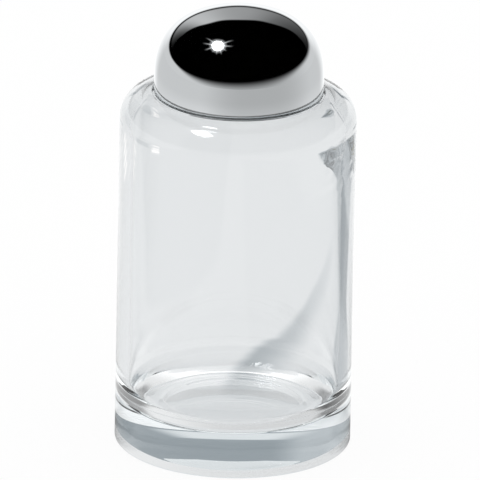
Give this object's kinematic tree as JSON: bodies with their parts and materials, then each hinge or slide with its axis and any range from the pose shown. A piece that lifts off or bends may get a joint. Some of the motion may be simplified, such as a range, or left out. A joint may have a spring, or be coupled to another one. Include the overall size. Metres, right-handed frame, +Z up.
{
  "type": "oil cruet",
  "caption": "Heavy clear glass cylinder for table oil with a sloping shoulder, a steel pouring head in its neck and a mirror-polished hinged dome that covers the spout.",
  "frame": {"origin": "middle of the foot, on the surface that the cruet stands on", "axes": "+Z up along the bottle's axis; the lid's hinge is on the +Y side; the spout's beak points along -Y"},
  "size_m": [0.062, 0.062, 0.1183],
  "materials": {
    "clear_glass": "clear pressed glass, fire polished",
    "mirror_steel": "mirror-polished stainless steel",
    "satin_steel": "stainless steel with a soft satin polish",
    "clear_silicone": "translucent food-grade silicone"
  },
  "bodies": {
    "bottle": {"glass_bottle": "clear_glass"},
    "head": {"neck_plug": "clear_silicone", "collar": "mirror_steel", "pourer": "satin_steel", "hinge_bracket": "satin_steel", "hinge_pin": "satin_steel"},
    "lid": {"lid_dome": "mirror_steel", "hinge_leaf": "satin_steel", "stopper_cup": "satin_steel", "stopper_pad": "clear_silicone"}
  },
  "joints": [
    {"name": "head_lift", "type": "slide", "parent": "bottle", "child": "head", "axis": [0, 0, 1], "range_m": [0, 0.009]},
    {"name": "lid_hinge", "type": "hinge", "parent": "head", "child": "lid", "pos_m": [0, 0.0217, 0.09844], "axis": [-1, 0, 0], "range_deg": [0, 100]}
  ]
}
